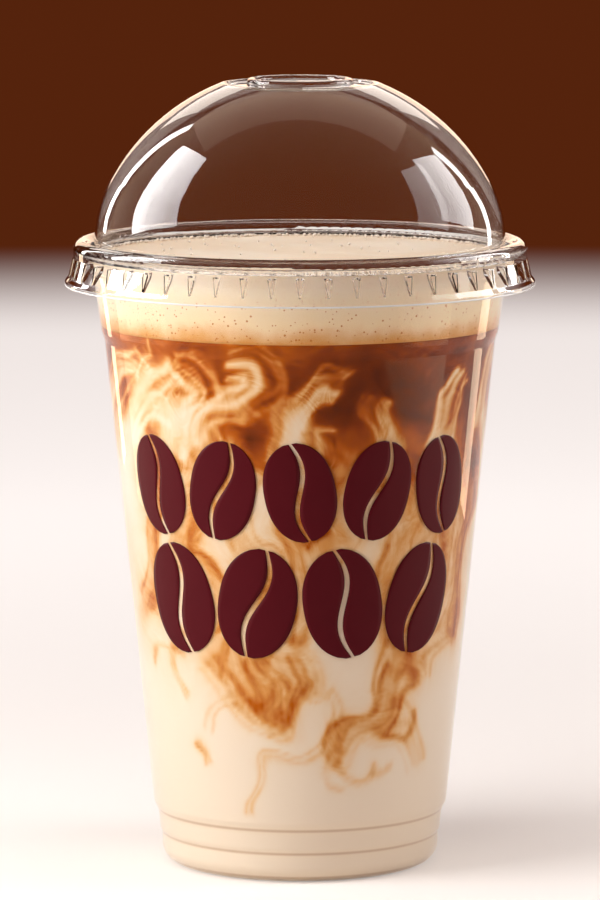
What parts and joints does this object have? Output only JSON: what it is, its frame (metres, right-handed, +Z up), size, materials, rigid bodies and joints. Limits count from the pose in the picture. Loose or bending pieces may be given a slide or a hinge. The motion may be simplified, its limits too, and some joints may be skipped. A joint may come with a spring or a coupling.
{
  "type": "iced latte in a lidded takeaway cup",
  "caption": "Clear tapered cup of marbled iced latte with a foam layer, closed by a clear domed lid with a straw hole and a crimped skirt.",
  "frame": {"origin": "middle of the cup's foot, at the height of the table", "axes": "+Z up along the cup's axis, -Y towards the viewer; the object is the same from every side apart from its print"},
  "size_m": [0.103, 0.103, 0.1729],
  "materials": {
    "cup_sheet": "clear formed PET sheet",
    "milk_coffee": "opaque liquid, coffee marbled into milk",
    "milk_foam": "fine dense foam",
    "lid_sheet": "clear formed PET sheet"
  },
  "bodies": {
    "root": {"cup": "cup_sheet", "latte": "milk_coffee", "foam": "milk_foam", "lid": "lid_sheet"}
  },
  "joints": []
}
